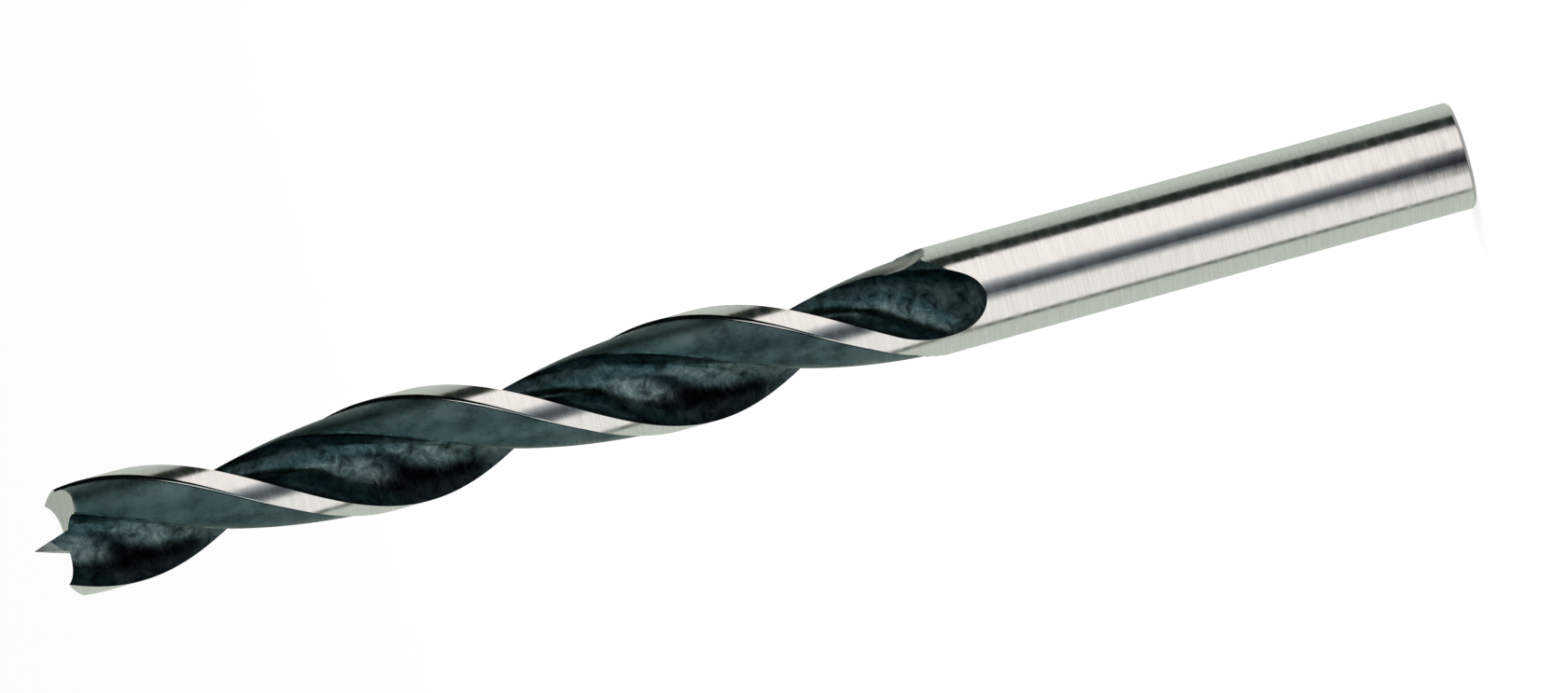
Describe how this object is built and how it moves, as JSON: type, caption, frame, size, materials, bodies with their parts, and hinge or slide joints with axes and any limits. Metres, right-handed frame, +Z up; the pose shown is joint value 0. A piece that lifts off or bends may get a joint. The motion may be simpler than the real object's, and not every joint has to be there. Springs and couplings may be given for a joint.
{
  "type": "twist drill bit",
  "caption": "Brad-point twist drill bit for wood with a plain round shank, helical flutes and a spurred point",
  "frame": {"origin": "centre of the flat end of the shank, on the bit's axis", "axes": "+Z runs up the bit's axis to the centre point, and +X runs along the two cutting lips; the bit stands on the flat end of its shank"},
  "size_m": [0.01, 0.01, 0.131],
  "materials": {
    "drill_steel": "tool steel: bright ground shank, margins and point, with the milled flutes and cleared backs left black from heat treatment"
  },
  "bodies": {
    "root": {"drill_bit": "drill_steel"}
  },
  "joints": []
}
